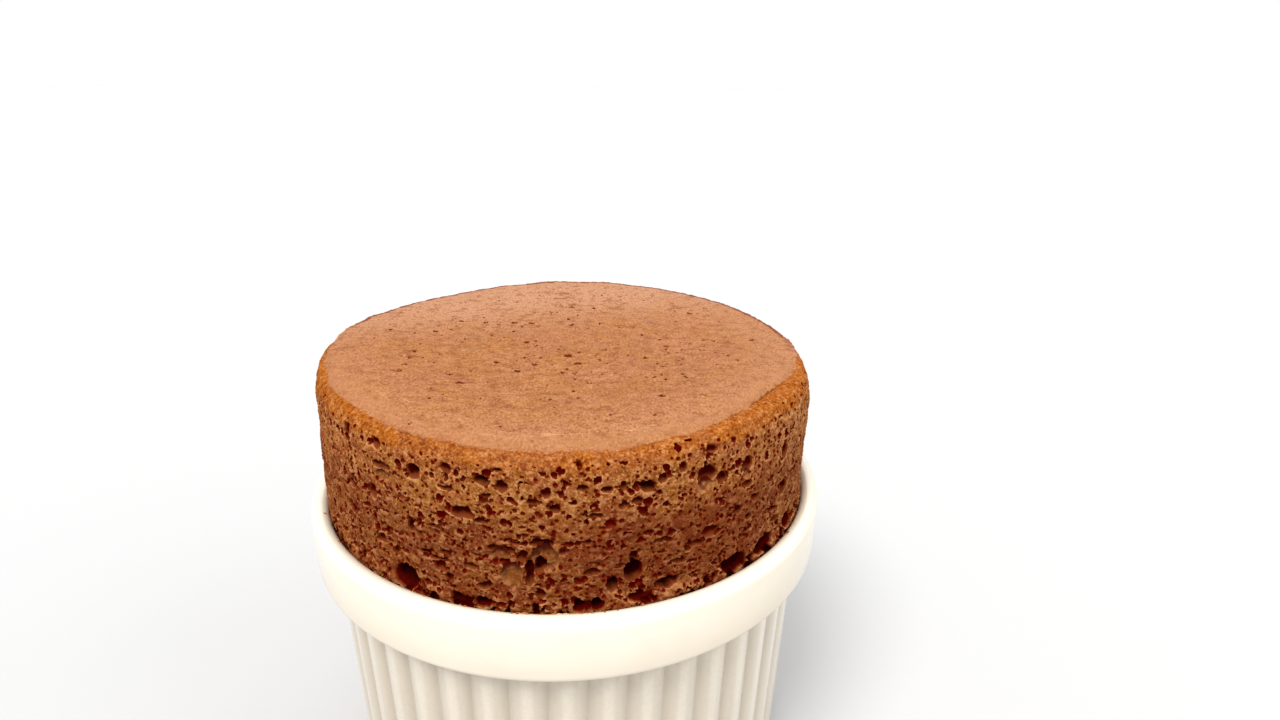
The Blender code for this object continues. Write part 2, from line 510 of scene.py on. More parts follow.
def porcelain(dish):
    """Clear glaze over warm white porcelain: it pools in the grooves and leaves the foot ring bare.
    Painted shade darkens the ribs, their grooves, their tops under the band, and the band low down and
    away from its front; a painted highlight lightens the crest of each rib.
    """
    material, graph, shader = new_material("glazed_porcelain")
    place = surface_place(graph)
    x, y, z = graph.split(place)
    radius, angle = from_axis(graph, x, y), angle_round(graph, x, y)
    top = dish.rim_height / MM
    band_low = (dish.rim_height - dish.band_height) / MM
    slope = (dish.neck_radius - dish.ankle_radius) / (dish.rim_height - dish.band_height)
    crest = dish.ankle_radius / MM + z * slope
    # Painted shade on the ribs and under the band, partly glaze that pools in the grooves
    on_ribs = graph.smooth(z, band_low + 0.5, band_low - 0.2)
    grooves = graph.smooth(crest - radius, 0.0, 0.85)
    # Painted highlight along the crest of each rib
    crest_highlight = graph.smooth(crest - radius, 0.16, 0.0) * 0.26
    brushed = graph.noise(graph.vector("MULTIPLY", place, (1.0, 1.0, 0.15)), 2.2, detail=3.0)
    # Painted shadow of the band's overhang at the tops of the grooves
    band_shadow = graph.smooth(z + grooves * -2.2 + brushed * 1.5, band_low - 4.2, band_low + 0.3)
    pooling_and_shade = graph.highest(grooves * 0.55, band_shadow) * on_ribs
    # Painted shade on the ribs at the front left
    left_rib_shade = graph.smooth(angle, -1.9, -2.5) * graph.smooth(y, 0.0, -4.0) * 0.12
    # Painted shade over all the ribs
    body = on_ribs * (left_rib_shade - crest_highlight + 0.50)
    mottle = graph.noise(place, 9.0, detail=3.0)
    creamy = graph.smooth(mottle + (z - band_low) * -0.03, 0.30, 0.75)
    creamy = creamy + graph.smooth(brushed, 0.5, 0.75) * on_ribs
    specks = graph.smooth(graph.noise(place, 0.7, detail=2.0), 0.42, 0.62) * on_ribs
    # Painted shade: the band is creamier low down and away from its front
    on_band = graph.smooth(z, band_low - 0.2, band_low + 0.5)
    band_shading = graph.smooth(z, top - 3.0, band_low + 1.0) * 0.35
    band_shading = band_shading + graph.smooth(angle, -1.1, -0.4) * 0.2
    band_shading = band_shading + graph.smooth(graph.math("ABSOLUTE", angle + 1.57), 0.15, 0.7) * 0.16
    # Butter baked on along the lip's inside
    inner_lip = graph.smooth(radius, 42.9, 42.3) * graph.smooth(z, top - 2.0, top)
    drips = graph.smooth(graph.noise(place, 2.6, detail=3.0, roughness=0.6), 0.52, 0.66)
    drips = graph.highest(drips, graph.math("EXPONENT", (angle + 2.0) * (angle + 2.0) * -60.0))
    bare = graph.smooth(z, 0.45, 0.2)
    tone = graph.layered(
        dish.glaze,
        (body + pooling_and_shade * 0.5, dish.pooled_glaze_and_shade),
        (creamy * 0.16, dish.pooled_glaze_and_shade),
        (specks * 0.10, dish.pooled_glaze_and_shade),
        (band_shading * on_band, dish.band_shade),
        (inner_lip * drips * 0.55, dish.baked_on),
        (bare, dish.bare_clay),
    )
    ripple = graph.noise(place, 5.0, detail=1.0)
    bump = graph.add("ShaderNodeBump", sockets={"Strength": 0.25, "Distance": 0.0002, "Height": ripple})
    shader_inputs(graph, shader, {
        "Base Color": tone,
        "Roughness": graph.noise(place, 3.0) * 0.08 + 0.14 + bare * 0.5,
        "Normal": bump,
        "IOR": 1.5,
        "Coat Weight": (1.0 - bare) * 0.5,
        "Coat Roughness": 0.05,
    })
    return material


class SOUFFLE_OT_ramekin(bpy.types.Operator):
    """Model the ribbed porcelain dish"""

    bl_idname = "souffle.ramekin"
    bl_label = "Ramekin"

    def execute(self, context):
        dish = context.scene.ramekin_settings
        piece = turned("ribbed_ramekin", ramekin_profile(dish), dish.rib_count * RIB_STEPS)
        with editing():
            press_ribs(dish)
        finish(piece, porcelain(dish), 50.0, replaces="ramekin")
        return {"FINISHED"}


# ----------------------------------------------------------------------
# Souffle: what the crumb and the skin share
# ----------------------------------------------------------------------


def edge_height(food):
    """Height of the skin's edge, in millimetres."""
    return (RIM_HEIGHT + food.edge_rise) / MM


def lean_of(graph, x, y, outward):
    """How much higher the top stands at a place: higher at the left, lower at the right, and wavy."""
    angle = angle_round(graph, x, y)
    sway = graph.math("COSINE", angle + 2.8) * 0.65
    sway = sway + graph.math("COSINE", angle * 3.0 + 2.2) * 0.4
    sway = sway + graph.math("COSINE", angle * 5.0 - 2.7) * 0.15
    return sway * outward * outward


def attribute(graph, name, output="Fac"):
    """Reads a value that the piece's points carry."""
    return graph.add("ShaderNodeAttribute", {"attribute_name": name}, output=output)


# ----------------------------------------------------------------------
# Crumb
# ----------------------------------------------------------------------

CRUMB_COLUMNS = 176  # of the cage
CRUMB_CUTS = 7  # new rings between each two of the cage's, and columns likewise
CRUMB_CORE = 37.4  # radius inside which a layer is plain, in millimetres
DEEPEST_HOLE = 3.2  # millimetres
CRUMB_IN_DISH = [(40.9, 49.5), (38.3, 43.5), (35.5, 10.0), (31.0, 6.0), (10.0, 6.0)]  # radius and height

# Bubbles: (cell size, least radius, greatest radius, share of cells that hold one), in millimetres
FINE_BUBBLES = (0.73, 0.16, 0.36, 0.97)
MIDDLE_BUBBLES = (1.5, 0.28, 0.70, 0.92)
LARGE_BUBBLES = (5.0, 0.9, 1.7, 0.35)
TORN_BUBBLES = (1.25, 0.22, 0.56, 0.68)

# The larger holes of the front: (angle in degrees, height above the rim, width, height, depth),
# in millimetres
FRONT_HOLES = (
    (-126, 13.1, 1.8, 2.4, 1.4), (-125, 5.6, 2.2, 1.4, 1.4), (-124, 20.8, 2.0, 1.4, 1.4),
    (-122.5, 17.7, 3.2, 0.9, 1.6), (-121, 4.4, 1.4, 1.2, 1.2), (-119, 0.9, 4.2, 3.6, 2.6),
    (-116.5, 9.7, 1.3, 1.8, 2.4), (-115, 8.9, 1.1, 1.0, 1.2), (-114.5, 18.5, 2.1, 2.3, 1.9),
    (-113, 22.6, 0.9, 0.9, 0.8), (-110.5, 4.5, 1.6, 1.8, 1.3), (-109, 6.8, 1.8, 1.1, 1.2),
    (-108.5, 2.9, 1.3, 2.0, 1.4), (-107.5, 20.1, 1.5, 1.5, 1.3), (-107.5, 17.2, 2.2, 0.8, 1.1),
    (-107, 0.2, 1.3, 2.0, 2.8), (-104.5, 14.1, 3.4, 1.8, 1.9), (-104, 5.8, 2.1, 1.0, 1.2),
    (-101.5, 0.2, 2.0, 1.4, 3.0), (-101, 13.2, 1.9, 0.7, 1.2), (-101, 2.9, 1.7, 1.1, 1.3),
    (-100.5, 19.2, 1.9, 1.3, 2.6), (-100, 17.0, 1.4, 0.7, 1.2), (-98.5, 9.1, 2.4, 1.1, 1.7),
    (-98, 21.0, 1.2, 0.7, 0.9), (-97, 18.6, 1.6, 1.5, 1.6), (-96.5, 7.0, 2.6, 1.0, 1.5),
    (-96.5, 9.0, 2.2, 1.2, 1.5), (-93.5, 8.2, 1.4, 1.9, 1.5), (-92.5, 5.7, 1.2, 4.0, 1.9),
    (-91, 16.6, 1.7, 0.9, 1.3), (-90.5, 6.8, 1.5, 2.1, 2.8), (-90.5, 2.3, 1.4, 1.8, 1.4),
    (-90, 10.4, 3.4, 1.1, 1.8), (-89, 17.9, 1.3, 1.4, 1.1), (-87.5, 15.7, 1.3, 1.2, 1.5),
    (-86, 9.0, 1.3, 0.9, 1.1), (-83.5, 0.2, 1.6, 1.7, 3.0), (-83, 22.0, 0.9, 1.0, 1.1),
    (-82.5, 18.6, 1.5, 1.0, 1.3), (-82, 10.4, 1.5, 0.8, 1.0), (-81, 5.6, 2.3, 1.2, 1.5),
    (-80.5, 14.4, 2.1, 0.7, 1.1), (-80, 0.2, 1.8, 1.8, 3.0), (-78, 18.2, 1.3, 0.8, 1.2),
    (-77, 3.2, 1.8, 2.4, 2.4), (-75, 15.5, 1.4, 1.0, 1.3), (-75, 18.6, 0.8, 1.4, 1.2),
    (-73, 4.8, 2.6, 3.2, 2.8), (-73, 7.2, 1.2, 1.8, 1.8), (-72.5, 16.0, 1.7, 0.8, 1.2),
    (-72, 0.6, 2.4, 1.3, 2.0), (-70.5, 17.9, 2.2, 1.8, 2.6), (-67.5, 18.8, 1.5, 1.5, 1.2),
    (-67.5, 9.0, 2.5, 0.8, 1.4), (-66, 1.7, 3.6, 1.7, 2.8), (-63.5, 4.8, 2.0, 0.9, 1.3),
    (-63.5, 19.6, 1.2, 1.7, 1.1), (-60, 7.0, 2.6, 1.0, 1.3), (-58, 17.5, 2.8, 2.5, 1.8),
    (-57, 21.0, 1.7, 1.1, 1.2), (-57, 8.4, 2.9, 1.9, 1.2), (-54.5, 16.1, 1.6, 1.9, 1.4),
    (-50, 10.0, 2.0, 1.3, 1.4), (-50, 1.0, 4.8, 3.0, 3.0), (-47.5, 16.6, 2.2, 2.3, 1.6),
    (-47.5, 13.4, 2.2, 1.0, 1.3), (-44.5, 10.5, 2.0, 1.2, 1.3), (-40, 1.0, 5.5, 2.4, 3.0),
    (-33.5, 15.2, 1.8, 3.0, 1.6), (-32, 8.4, 2.0, 2.9, 1.8), (-28, 0.9, 3.6, 2.4, 2.8),
)
# Shallow hollows of the front, with a plain floor that catches the light: the same five numbers
FRONT_DENTS = (
    (-122.5, 16.1, 3.0, 2.0, 0.6), (-100, 15.7, 1.5, 2.0, 0.5), (-98, 7.9, 3.4, 1.6, 0.7),
    (-95.8, 5.2, 3.0, 4.2, 1.3), (-89.5, 7.8, 3.8, 4.4, 1.5), (-58.5, 15.7, 2.6, 2.0, 0.8),
    (-47.5, 15.0, 1.6, 1.2, 0.6),
)


def bubbles(graph, place, inward, family, shift, openness=1.0):
    """Hollows that bubbles leave where their cells cut the surface: their depth, and the way from a
    place to the nearest one's mouth, less than 0 inside it, both in millimetres. Also how high in
    its bubble a place lies, from 0 to 1, and 0 outside."""
    size, least, greatest, share = family
    place = graph.vector("ADD", place, (shift, 0.7 * shift, 1.3 * shift))
    distance, chances, middle = graph.cells(place, size)
    chance, luck, _ = graph.split(chances)
    distance = distance * size
    radius = luck * (greatest - least) + least
    ahead = graph.vector("SUBTRACT", middle, place)
    _, _, below = graph.split(ahead)
    ahead = graph.vector("DOT_PRODUCT", ahead, inward, output="Value")
    room = radius * radius - distance * distance
    reach = ahead + graph.math("SQRT", graph.highest(room + ahead * ahead, 0.0))
    # A bubble whose middle lies well outside leaves only a shallow dish, so it is left out.
    there = graph.math("LESS_THAN", chance, openness * share)
    there = there * graph.math("GREATER_THAN", ahead, radius * -0.35)
    inside = graph.math("GREATER_THAN", room, 0.0) * there
    reach = graph.lowest(graph.highest(reach, 0.0), radius * 1.1)
    roofed = graph.highest(0.5 - below / radius * 0.5, 0.0) * inside
    return reach * inside, distance - radius + (1.0 - there) * 9.0, roofed


def facing_out(graph, x, y, z, food):
    """The way the food's side faces: level, and turned up over the browned edge."""
    edge = edge_height(food)
    radius = from_axis(graph, x, y)
    upward = graph.smooth(z, edge - food.browned_drop / MM, edge - 0.5) * 1.6
    return graph.vector("NORMALIZE", graph.join(x / radius, y / radius, upward))


def small_hollows(graph, place, inward, food):
    """The small pores of the side: depth, way to the mouth and height in the pore of the fine ones,
    the same of the others, and how low on the side a place is, from 0 to 1."""
    edge = edge_height(food)
    _, _, z = graph.split(place)
    patches = graph.noise(place, 5.0, detail=1.0)
    low = graph.smooth(z + patches * 8.0 - 4.0, edge - 6.5, edge - 13.5)
    openness = graph.smooth(patches, 0.34, 0.54) * 0.38 + 0.62
    openness = openness * graph.smooth(z + patches * 3.0, edge + 0.9, edge - 1.2)
    fine = bubbles(graph, graph.warped(place, 0.7, 0.42), inward, FINE_BUBBLES, 3.0, openness)
    tall = graph.vector("MULTIPLY", graph.warped(place, 1.2, 1.0), (1.0, 1.0, 0.85))
    openness = openness * (1.0 - low * 0.45)
    middle, to_middle, over_middle = bubbles(graph, tall, inward, MIDDLE_BUBBLES, 11.0, openness)
    flat = graph.vector("MULTIPLY", graph.warped(place, 1.8, 1.8), (0.68, 0.68, 1.3))
    torn, to_torn, over_torn = bubbles(graph, flat, inward, TORN_BUBBLES, 47.0, low)
    depth, way = graph.highest(middle, torn), graph.lowest(to_middle, to_torn)
    height = graph.highest(over_middle, over_torn)
    return fine, (depth, way, height), low


def front_hollows(graph, place, side, hollows, wavering, open_below):
    """Listed hollows of the front, each an oval with a wavering edge, deepest under its roof. Gives
    a vector: the depth in millimetres, then from 0 to 1 how near a place is to a hollow's lower lip,
    where the crumb's colour has a painted highlight, and how much it lies on the open, lower part of
    a hollow's floor, which ends at open_below, a height from -1 to 1."""
    x, y, z = graph.split(graph.warped(graph.warped(place, 1.3, wavering), 0.55, 0.45))
    unrolled = graph.join(angle_round(graph, x, y) * side, z - RIM_HEIGHT / MM, 0.0)
    deepest, lip_highlights, floors = 0.0, 0.0, 0.0
    for angle, height, width, tall, depth in hollows:
        away = graph.vector("SUBTRACT", unrolled, (math.radians(angle) * side, height, 0.0))
        away = graph.vector("MULTIPLY", away, (2.0 / width, 2.0 / tall, 0.0))
        reach = graph.vector("LENGTH", away, output="Value")
        _, up, _ = graph.split(away)
        hollow = graph.smooth(reach, 1.12, 0.80, depth) * (up * 0.25 + 0.75)
        deepest = graph.highest(deepest, hollow)
        lip_highlights = graph.highest(lip_highlights, graph.smooth(reach, 1.6, 1.15) * (0.2 - up * 0.6))
        floor = graph.smooth(up, open_below, open_below - 0.5)
        floors = graph.highest(floors, floor * graph.smooth(reach, 1.3, 1.1))
    return graph.join(deepest, lip_highlights, floors)


def large_hollows(graph, place, inward, front, low):
    """Depth of the larger holes: those of the front, others elsewhere, and ragged gaps along the rim."""
    x, y, z = graph.split(place)
    rim = RIM_HEIGHT / MM
    off_front = graph.math("ABSOLUTE", angle_round(graph, x, y) + 1.35)
    off_front = graph.smooth(off_front, 0.90, 1.05)
    uneven = graph.warped(place, 2.5, 1.6)
    elsewhere, _, _ = bubbles(graph, uneven, inward, LARGE_BUBBLES, 29.0, off_front)
    ragged = graph.noise(graph.vector("MULTIPLY", place, (1.0, 1.0, 0.8)), 2.6, detail=3.0, roughness=0.6)
    gap = graph.smooth(ragged, 0.53, 0.58) * graph.smooth(z + ragged * 3.0, rim + 3.4, rim + 1.4)
    gap = gap * (off_front * 1.6 + 1.2)
    flat = graph.vector("MULTIPLY", place, (0.5, 0.5, 1.3))
    split = graph.smooth(graph.noise(flat, 2.6, detail=3.0, roughness=0.65), 0.63, 0.70) * low * 1.3
    front = front * (graph.noise(place, 1.1, detail=2.0) * 0.8 + 0.6)
    return graph.highest(graph.highest(elsewhere, gap), graph.highest(split, front))


def open_the_crumb(food):
    """Builds the node tree that gives a smooth layer its bubbles, tears and rough walls."""
    edge, rim = edge_height(food), RIM_HEIGHT / MM
    side = food.crumb_radius / MM

    def build(graph, shape):
        place = place_in_mm(graph)
        x, y, z = graph.split(place)
        radius = from_axis(graph, x, y)
        outward = facing_out(graph, x, y, z, food)
        inward = graph.scaled(outward, -1.0)
        on_side = graph.smooth(radius, CRUMB_CORE, CRUMB_CORE + 1.2)
        shown = graph.smooth(z, rim - 2.4, rim - 1.6) * on_side
        shape = keep(graph, shape, "place", place, "FLOAT_VECTOR")
        holes = front_hollows(graph, place, side, FRONT_HOLES, 1.0, -0.30)
        shape = keep(graph, shape, "front_holes", graph.scaled(holes, shown), "FLOAT_VECTOR")
        dents = front_hollows(graph, place, side, FRONT_DENTS, 1.4, 0.55)
        shape = keep(graph, shape, "front_dents", graph.scaled(dents, shown), "FLOAT_VECTOR")
        (fine, _, _), (middle, _, _), low = small_hollows(graph, place, inward, food)
        below_edge = graph.smooth(z, edge - 0.4, edge - 1.4)
        front, _, _ = graph.split(kept(graph, "front_holes", "FLOAT_VECTOR"))
        large = large_hollows(graph, place, inward, front, low)
        shape = keep(graph, shape, "hollow", graph.lowest(large * below_edge, DEEPEST_HOLE) * shown)
        large = kept(graph, "hollow")
        dent, _, _ = graph.split(kept(graph, "front_dents", "FLOAT_VECTOR"))
        small = graph.highest(middle * 0.7, fine * 0.5) * graph.smooth(large, 0.5, 0.1)
        small = small * graph.smooth(dent, 0.7, 0.3)
        swell = graph.noise(place, 13.0, detail=1.0) * 1.3 - 0.65
        lumps = graph.noise(place, 1.6, detail=3.0, roughness=0.6) * 0.7 - 0.35
        grain = graph.noise(place, 0.55, detail=2.0, roughness=0.6) * 0.26 - 0.13
        flakes = graph.vector("MULTIPLY", graph.warped(place, 2.0, 1.2), (0.4, 0.4, 1.3))
        flakes = (graph.noise(flakes, 1.3, detail=3.0, roughness=0.6) - 0.5) * low * 0.9
        rough = lumps + grain + flakes
        lip_close = graph.smooth(z, rim + 1.4, rim - 0.4)
        swell = swell * below_edge * (1.0 - lip_close)
        relief = graph.lowest(swell + rough, 0.4 - lip_close * 0.35) + lip_close * 0.28
        relief = (relief - graph.highest(large * 0.85, graph.highest(small, dent))) * shown
        risen = graph.highest((z - rim) / (edge - rim), 0.0)
        lift = lean_of(graph, x, y, radius / side) * risen
        push = graph.vector("ADD", graph.scaled(outward, relief * MM), graph.join(0.0, 0.0, lift * MM))
        shape = keep(graph, shape, "rough", rough * shown)
        return graph.add("GeometryNodeSetPosition", sockets={"Geometry": shape, "Offset": push})

    return build


def baked_crumb(food):
    """Moist baked crumb: tan walls and red-brown pores, darker low down, and a caramel edge. Painted
    shade fills the pores, holes and crevices and the faces turned down; painted highlights lie on raised
    and upturned places, round the pores and under each hollow's lower lip, and a painted sheen lies on
    the side's far end.
    """
    edge, rim = edge_height(food), RIM_HEIGHT / MM
    material, graph, shader = new_material("baked_crumb")
    place, here = attribute(graph, "place", "Vector"), surface_place(graph)
    x, y, z = graph.split(place)
    angle = angle_round(graph, x, y)
    outward = facing_out(graph, x, y, z, food)
    inward = graph.scaled(outward, -1.0)
    _, _, level = graph.split(outward)
    # How far the shaded surface turns up or down, for painted light and shade
    _, _, upward = graph.split(graph.add("ShaderNodeNewGeometry", output="Normal"))
    upward = upward - level
    fine_pores, other_pores, low = small_hollows(graph, place, inward, food)
    (fine, to_fine, over_fine), (middle, to_middle, over_middle) = fine_pores, other_pores
    large, rough = attribute(graph, "hollow"), attribute(graph, "rough")
    _, lip, open_floor = graph.split(attribute(graph, "front_holes", "Vector"))
    dent, _, dent_floor = graph.split(attribute(graph, "front_dents", "Vector"))
    crumble = graph.noise(here, 1.1, detail=4.0, roughness=0.65)
    speckle = graph.noise(here, 0.34, detail=2.0, roughness=0.6)
    patches = graph.noise(graph.vector("ADD", here, (50.0, 0.0, 0.0)), 3.6, detail=2.0)
    # Painted shade in the recesses of the relief, with random darker grains
    dark_grain_and_crevice_shade = graph.highest(
        graph.smooth(crumble, 0.48, 0.36) * 0.7, graph.smooth(rough, -0.05, -0.24) * 0.8
    )
    # Painted highlight on raised places of the relief, with random paler grains
    pale_grain_and_highlight = graph.highest(
        graph.smooth(crumble, 0.52, 0.66), graph.smooth(rough, 0.06, 0.26) * 0.8
    )
    # Walls, with painted shade and painted highlights
    # Painted sheen on the side's far end, at the right
    paler = graph.smooth(graph.math("ABSOLUTE", angle + 0.15), 0.75, 0.35) * (1.0 - low * 0.5)
    # Painted shade on the floors of the shallow dents
    hollow_shade = graph.smooth(dent, 0.1, 0.35)
    # Painted highlight round each pore's rim
    pore_rim_highlight = graph.lowest(graph.smooth(to_middle, 0.32, 0.10), graph.smooth(crumble, 0.38, 0.50))
    # Darker at the front right, low on the side
    darker_front_right = graph.smooth(angle, -1.66, -1.28) * graph.smooth(angle, -0.55, -0.95) * 0.34 + 0.10
    darker_front_right = darker_front_right * graph.smooth(z + patches * 5.0 - 2.5, rim + 16.0, rim + 12.0)
    darker_front_right = darker_front_right * graph.smooth(z, rim + 0.5, rim + 3.0)
    wall = graph.layered(
        food.crumb_light,
        (low * 0.85, food.crumb_dark),
        (graph.smooth(patches, 0.42, 0.58) * (0.7 - low * 0.3), food.crumb_gold),
        (hollow_shade * 0.85, food.shaded_hollow_floor),
        (dark_grain_and_crevice_shade, food.moist_and_shaded_crumb),
        (pale_grain_and_highlight * (0.7 - low * 0.25), food.dry_and_lit_crumb),
        (graph.smooth(speckle, 0.48, 0.35) * (0.55 - low * 0.15), food.moist_and_shaded_crumb),
        (graph.smooth(speckle, 0.54, 0.66) * (0.6 - low * 0.3), food.dry_and_lit_crumb),
        (hollow_shade * 0.5, food.shaded_hollow_floor),
        (pore_rim_highlight * (0.55 - low * 0.2), food.crumb_glint),
        (paler * (pale_grain_and_highlight * 0.5 + 0.1), food.crumb_glint),
        # Painted light on faces turned up and painted shade on faces turned down
        (graph.smooth(upward, 0.30, 0.75) * (0.6 - low * 0.2), food.dry_and_lit_crumb),
        (graph.smooth(upward, -0.30, -0.75) * 0.7, food.moist_and_shaded_crumb),
        (graph.smooth(speckle, 0.62, 0.70) * (0.6 - low * 0.35), food.crumb_glint),
        # Painted highlight under each hollow's lower lip
        (graph.smooth(lip + crumble, 0.75, 1.3) * (0.55 - low * 0.2), food.crumb_glint),
        (darker_front_right, food.moist_and_shaded_crumb),
    )
    # Browned edge, with painted shade in its crevices and a painted highlight on its raised grains
    band_noise = graph.noise(place, 2.4, detail=3.0)
    band = graph.smooth(z + band_noise * 3.0, edge - 1.3, edge - 0.1)
    toasted = graph.smooth(patches + graph.math("ABSOLUTE", angle + 1.55) * 0.32, 0.48, 0.70)
    at_back = graph.smooth(angle, 0.1, 0.4)
    behind = at_back * graph.smooth(z + band_noise * 2.0, edge - 2.6, edge - 1.0)
    brink = at_back * graph.smooth(z + crumble * 0.8, edge - 0.1, edge - 0.5)
    toast = graph.layered(
        food.browned,
        (toasted, food.browned_deep),
        (dark_grain_and_crevice_shade, food.browned_dark_and_shade),
        (pale_grain_and_highlight * 0.7, food.browned_fleck_and_highlight),
        (graph.smooth(speckle, 0.49, 0.36) * 0.6, food.browned_dark_and_shade),
        (graph.smooth(speckle, 0.54, 0.68) * 0.6, food.browned_fleck_and_highlight),
        (behind * 0.75, food.skin_pale),
        (brink * 0.85, food.browned_dark_and_shade),
    )
    # Pores and holes: painted shade inside them, darkest under their roofs, lighter on their open lower
    # floors
    no_hole = graph.smooth(large, 0.5, 0.1)
    open_place = no_hole * (graph.smooth(dent, 0.5, 0.2) * 0.6 + 0.4)
    fine_mouth = graph.smooth(to_fine, 0.06, -0.02) * open_place
    mouth = graph.smooth(to_middle, 0.06, -0.02) * open_place
    fine_pore_shade = graph.smooth(fine, 0.07, 0.22) * (graph.smooth(over_fine, 0.05, 0.40) * 0.45 + 0.55)
    # Painted shade, deeper in each pore and under its roof
    dark = graph.smooth(middle, 0.08, 0.30) * (graph.smooth(over_middle, 0.08, 0.42) * 0.7 + 0.3)
    open_floor = open_floor * graph.smooth(large, 1.9, 1.2) * graph.smooth(z, rim + 0.4, rim + 1.4)
    tone = graph.layered(
        wall,
        (band, toast),
        (fine_mouth * 0.85, food.pore_mouth_shade),
        (fine_mouth * fine_pore_shade * 0.9, food.pore),
        (mouth * 0.95, food.pore_mouth_shade),
        (mouth * dark, food.pore),
        (graph.smooth(large, 0.03, 0.18) * 0.9, food.hole_floor_shade),
        (graph.smooth(large, 0.22, 0.65) * (1.0 - open_floor * 0.85), food.hole_shade),
        (graph.smooth(large, 0.9, 1.9) * (1.0 - open_floor * 0.6), food.deep_hole_shade),
        # Painted shadow under each dent's roof
        (graph.smooth(dent, 0.05, 0.3) * (1.0 - dent_floor) * 0.9, food.hole_shade),
    )
    relief = crumble * 0.6 + speckle * 0.3 - graph.highest(fine, graph.lowest(middle, 0.7))
    bump = graph.add("ShaderNodeBump", sockets={"Strength": 0.6, "Distance": 0.0004, "Height": relief})
    shader_inputs(graph, shader, {
        "Base Color": tone,
        "Roughness": 0.62 + patches * 0.25,
        "Normal": bump,
        "Specular IOR Level": 0.0,
        "Coat Weight": (1.0 - graph.highest(mouth, fine_mouth)) * no_hole * 0.08,
        "Coat Roughness": 0.5,
    })
    return material


def crumb_layer(food, name, profile):
    """A layer of the food as a closed disc, finely divided all round its side."""
    hidden_below = RIM_HEIGHT / MM - 3.0
    piece = turned(name, profile, CRUMB_COLUMNS)
    with editing():
        select_points(lambda radius, angle, height: radius > CRUMB_CORE + 0.1 and height > hidden_below)
        bpy.ops.mesh.subdivide(number_cuts=CRUMB_CUTS, smoothness=0.0)
    return piece


def level_rows(radius, high, low, rows):
    """Points down an upright stretch of a profile, both ends included."""
    return [(radius, high + (low - high) * row / rows) for row in range(rows + 1)]


class SOUFFLE_OT_crumb(bpy.types.Operator):
    """Model the souffle's side in three layers: the browned edge, the open crumb and the torn crumb"""

    bl_idname = "souffle.crumb"
    bl_label = "Crumb"

    def execute(self, context):
        food = context.scene.souffle_settings
        edge, rim = edge_height(food), RIM_HEIGHT / MM
        side, drop = food.crumb_radius / MM, food.browned_drop / MM
        browned_low, crumb_low = edge - drop - 1.0, rim + 9.6
        top = [(20.0, edge - 1.2), (34.0, edge - 1.0), (CRUMB_CORE, edge - 0.7)]
        rounding = [(38.4, edge - 0.42), (39.6, edge - 0.4), (40.6, edge - 0.85), (41.3, edge - 1.8),
                    (side, edge - drop)]
        browned = top + rounding + [(side, browned_low), (CRUMB_CORE, browned_low), (10.0, browned_low)]
        upper = [(10.0, browned_low), (CRUMB_CORE, browned_low)]
        upper += level_rows(side, browned_low, crumb_low, 6) + [(CRUMB_CORE, crumb_low), (10.0, crumb_low)]
        lower = [(10.0, crumb_low), (CRUMB_CORE, crumb_low)]
        lower += level_rows(side, crumb_low, rim - 2.6, 8) + CRUMB_IN_DISH
        layers = {"browned_edge": browned, "open_crumb": upper, "torn_crumb": lower}
        pieces = [crumb_layer(food, name, profile) for name, profile in layers.items()]
        run_nodes(pieces, "open_the_crumb", open_the_crumb(food))
        material = baked_crumb(food)
        for piece in pieces:
            finish(piece, material, 60.0, replaces="souffle")
        return {"FINISHED"}


# ----------------------------------------------------------------------
# Skin
# ----------------------------------------------------------------------

SKIN_SPAN = 70  # cells across the skin's cage
SKIN_CUTS = 3
SKIN_EDGE_ROUNDING = 0.3  # millimetres
HIGHEST_RISE = 1.1  # the most that the skin stands above its edge, in millimetres
# Pits: (cell size, least radius, greatest radius, share of cells that hold one, shift), in millimetres
PINHOLES = ((3.4, 0.24, 0.72, 0.60, 5.0), (2.1, 0.16, 0.40, 0.42, 23.0))
SMUDGES = ((3.0, 0.35, 0.95, 0.55, 61.0), (1.7, 0.20, 0.50, 0.40, 83.0))


def skin_sheet(food):
    """A round sheet filled with a grid, with a rounded edge that turns under and closes below."""
    edge, rounding = edge_height(food), SKIN_EDGE_ROUNDING
    radius = food.skin_radius / MM - rounding
    bpy.ops.object.select_all(action="DESELECT")
    bpy.ops.mesh.primitive_circle_add(vertices=4 * SKIN_SPAN, radius=radius * MM, fill_type="NOTHING")
    piece = bpy.context.object
    piece.name = piece.data.name = "baked_skin"
    with editing("EDGE"):
        bpy.ops.mesh.select_all(action="SELECT")
        bpy.ops.transform.translate(value=(0.0, 0.0, edge * MM))
        bpy.ops.mesh.fill_grid(span=SKIN_SPAN)
        bpy.ops.mesh.select_all(action="SELECT")
        bpy.ops.mesh.subdivide(number_cuts=SKIN_CUTS, smoothness=0.0)
        bpy.ops.mesh.select_all(action="SELECT")
        bpy.ops.mesh.region_to_loop()
        turned_under = arc((radius, edge - rounding), rounding, 90.0, -60.0, 5)
        extrude_ring(turned_under + [(radius - 1.6, edge - 0.8), (12.0, edge - 1.6)])
        close_ring()
        face_outwards()
    return piece


